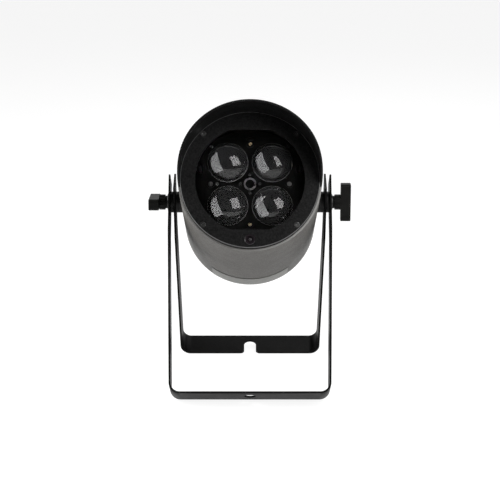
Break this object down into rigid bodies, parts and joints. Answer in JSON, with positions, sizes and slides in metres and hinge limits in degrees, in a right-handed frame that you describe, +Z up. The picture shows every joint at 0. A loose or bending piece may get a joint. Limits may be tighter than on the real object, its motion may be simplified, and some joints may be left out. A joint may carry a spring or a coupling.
{
  "type": "par can light",
  "caption": "Zooming LED par can: round tilting housing with recessed lenses and a half visor, held by T knobs between two folding floor yokes.",
  "frame": {"origin": "on the floor, under the middle of the bounding box", "axes": "+Z up, -Y the way the light shines, +X to the right seen from in front of the light"},
  "size_m": [0.268, 0.3188, 0.3886],
  "materials": {
    "yoke_black": "satin powder coat",
    "tube_paint": "painted, fine satin texture",
    "front_black": "painted, textured powder coat",
    "black_screws": "black oxide",
    "pivot_black": "matt",
    "knob_plastic": "moulded, fine grain",
    "steel": "zinc plated",
    "dark_metal": "black oxide, turned",
    "glass": "polished, coated",
    "lens_clear": "polished acrylic",
    "carriage_black": "matt",
    "receiver": "gloss",
    "rubber": "matt",
    "label": "satin foil",
    "brass": "machined",
    "aluminium": "milled",
    "chassis_black": "black anodised",
    "board": "solder mask",
    "led": "phosphor",
    "fan_plastic": "moulded",
    "motor_case": "satin",
    "display": "gloss",
    "button_rubber": "matt",
    "connector_plastic": "moulded"
  },
  "bodies": {
    "front_yoke": {"front_yoke": "yoke_black", "yoke_spacers": "pivot_black"},
    "rear_yoke": {"rear_yoke": "yoke_black"},
    "zoom_carriage": {"lens_plate": "carriage_black", "lens_retainer": "carriage_black", "lenses": "lens_clear", "lead_nuts": "carriage_black", "guide_bushes": "carriage_black", "centre_hub": "dark_metal", "carriage_screws": "black_screws"},
    "lead_screw_upper": {"lead_screw_upper": "brass"},
    "lead_screw_lower": {"lead_screw_lower": "brass"},
    "fan_rotor": {"fan_rotor": "fan_plastic"},
    "clamp_left": {"washer_left": "steel"},
    "clamp_right": {"washer_right": "steel"},
    "knob_left": {"knob_left": "knob_plastic", "knob_stud_left": "steel"},
    "knob_right": {"knob_right": "knob_plastic", "knob_stud_right": "steel"},
    "menu_button_1": {"menu_button_1": "button_rubber"},
    "menu_button_2": {"menu_button_2": "button_rubber"},
    "menu_button_3": {"menu_button_3": "button_rubber"},
    "menu_button_4": {"menu_button_4": "button_rubber"},
    "head": {"housing_tube": "tube_paint", "visor": "front_black", "front_bezel": "front_black", "front_frame": "front_black", "rear_panel": "front_black", "rear_ring": "front_black", "bezel_screws": "black_screws", "visor_screws": "black_screws", "rear_panel_screws": "black_screws", "pivot_bosses": "pivot_black", "friction_discs": "pivot_black", "chassis_pillars": "steel", "safety_eye": "steel", "guide_rods": "dark_metal", "front_glass": "glass", "light_guides": "lens_clear", "guide_holder": "carriage_black", "receiver_ring": "receiver", "receiver_window": "receiver", "glass_gasket": "rubber", "rating_plate": "label", "heat_sink": "aluminium", "chassis_plate": "chassis_black", "led_board": "board", "driver_board": "board", "display_board": "board", "led_emitters": "led", "fan_frame": "fan_plastic", "zoom_motors": "motor_case", "power_supply": "motor_case", "display_window": "display", "power_inlet": "connector_plastic", "power_outlet": "connector_plastic", "data_inlet": "connector_plastic", "data_outlet": "connector_plastic", "vent_valve": "connector_plastic", "fuse_holder": "connector_plastic"}
  },
  "joints": [
    {"name": "rear_yoke_swing", "type": "hinge", "parent": "front_yoke", "child": "rear_yoke", "pos_m": [0, 0.00283, 0.23089], "axis": [1, 0, 0], "range_deg": [-49.4, 130.6]},
    {"name": "head_tilt", "type": "hinge", "parent": "front_yoke", "child": "head", "pos_m": [0, 0.00283, 0.23089], "axis": [1, 0, 0], "range_deg": [-62.2, 117.8]},
    {"name": "zoom_slide", "type": "slide", "parent": "head", "child": "zoom_carriage", "axis": [0, -0.8846, 0.4664], "range_m": [-0.03, 0.0015]},
    {"name": "lead_screw_upper_turn", "type": "hinge", "parent": "head", "child": "lead_screw_upper", "pos_m": [0, -0.02576, 0.30532], "axis": [0, -0.8846, 0.4664], "range_deg": [-1360, 70]},
    {"name": "lead_screw_lower_turn", "type": "hinge", "parent": "head", "child": "lead_screw_lower", "pos_m": [0, -0.07473, 0.21244], "axis": [0, -0.8846, 0.4664], "range_deg": [-1360, 70]},
    {"name": "fan_spin", "type": "hinge", "parent": "head", "child": "fan_rotor", "pos_m": [0, 0.01344, 0.2253], "axis": [0, -0.8846, 0.4664], "continuous": true},
    {"name": "clamp_left_slide", "type": "slide", "parent": "front_yoke", "child": "clamp_left", "axis": [-1, 0, 0], "range_m": [0, 0.0025]},
    {"name": "knob_left_turn", "type": "hinge", "parent": "clamp_left", "child": "knob_left", "pos_m": [-0.115, 0.00283, 0.23089], "axis": [-1, 0, 0], "range_deg": [0, 721]},
    {"name": "clamp_right_slide", "type": "slide", "parent": "front_yoke", "child": "clamp_right", "axis": [1, 0, 0], "range_m": [0, 0.0025]},
    {"name": "knob_right_turn", "type": "hinge", "parent": "clamp_right", "child": "knob_right", "pos_m": [0.115, 0.00283, 0.23089], "axis": [1, 0, 0], "range_deg": [0, 721]},
    {"name": "menu_button_1_press", "type": "slide", "parent": "head", "child": "menu_button_1", "axis": [0, -0.8846, 0.4664], "range_m": [0, 0.0012], "stiffness_N_per_m": 500},
    {"name": "menu_button_2_press", "type": "slide", "parent": "head", "child": "menu_button_2", "axis": [0, -0.8846, 0.4664], "range_m": [0, 0.0012], "stiffness_N_per_m": 500},
    {"name": "menu_button_3_press", "type": "slide", "parent": "head", "child": "menu_button_3", "axis": [0, -0.8846, 0.4664], "range_m": [0, 0.0012], "stiffness_N_per_m": 500},
    {"name": "menu_button_4_press", "type": "slide", "parent": "head", "child": "menu_button_4", "axis": [0, -0.8846, 0.4664], "range_m": [0, 0.0012], "stiffness_N_per_m": 500}
  ],
  "couplings": [
    {"joint": "lead_screw_upper_turn", "follows": "zoom_slide", "rad_per_m": 785.4},
    {"joint": "lead_screw_lower_turn", "follows": "zoom_slide", "rad_per_m": 785.4},
    {"joint": "knob_left_turn", "follows": "clamp_left_slide", "rad_per_m": 5026.5},
    {"joint": "knob_right_turn", "follows": "clamp_right_slide", "rad_per_m": 5026.5}
  ]
}
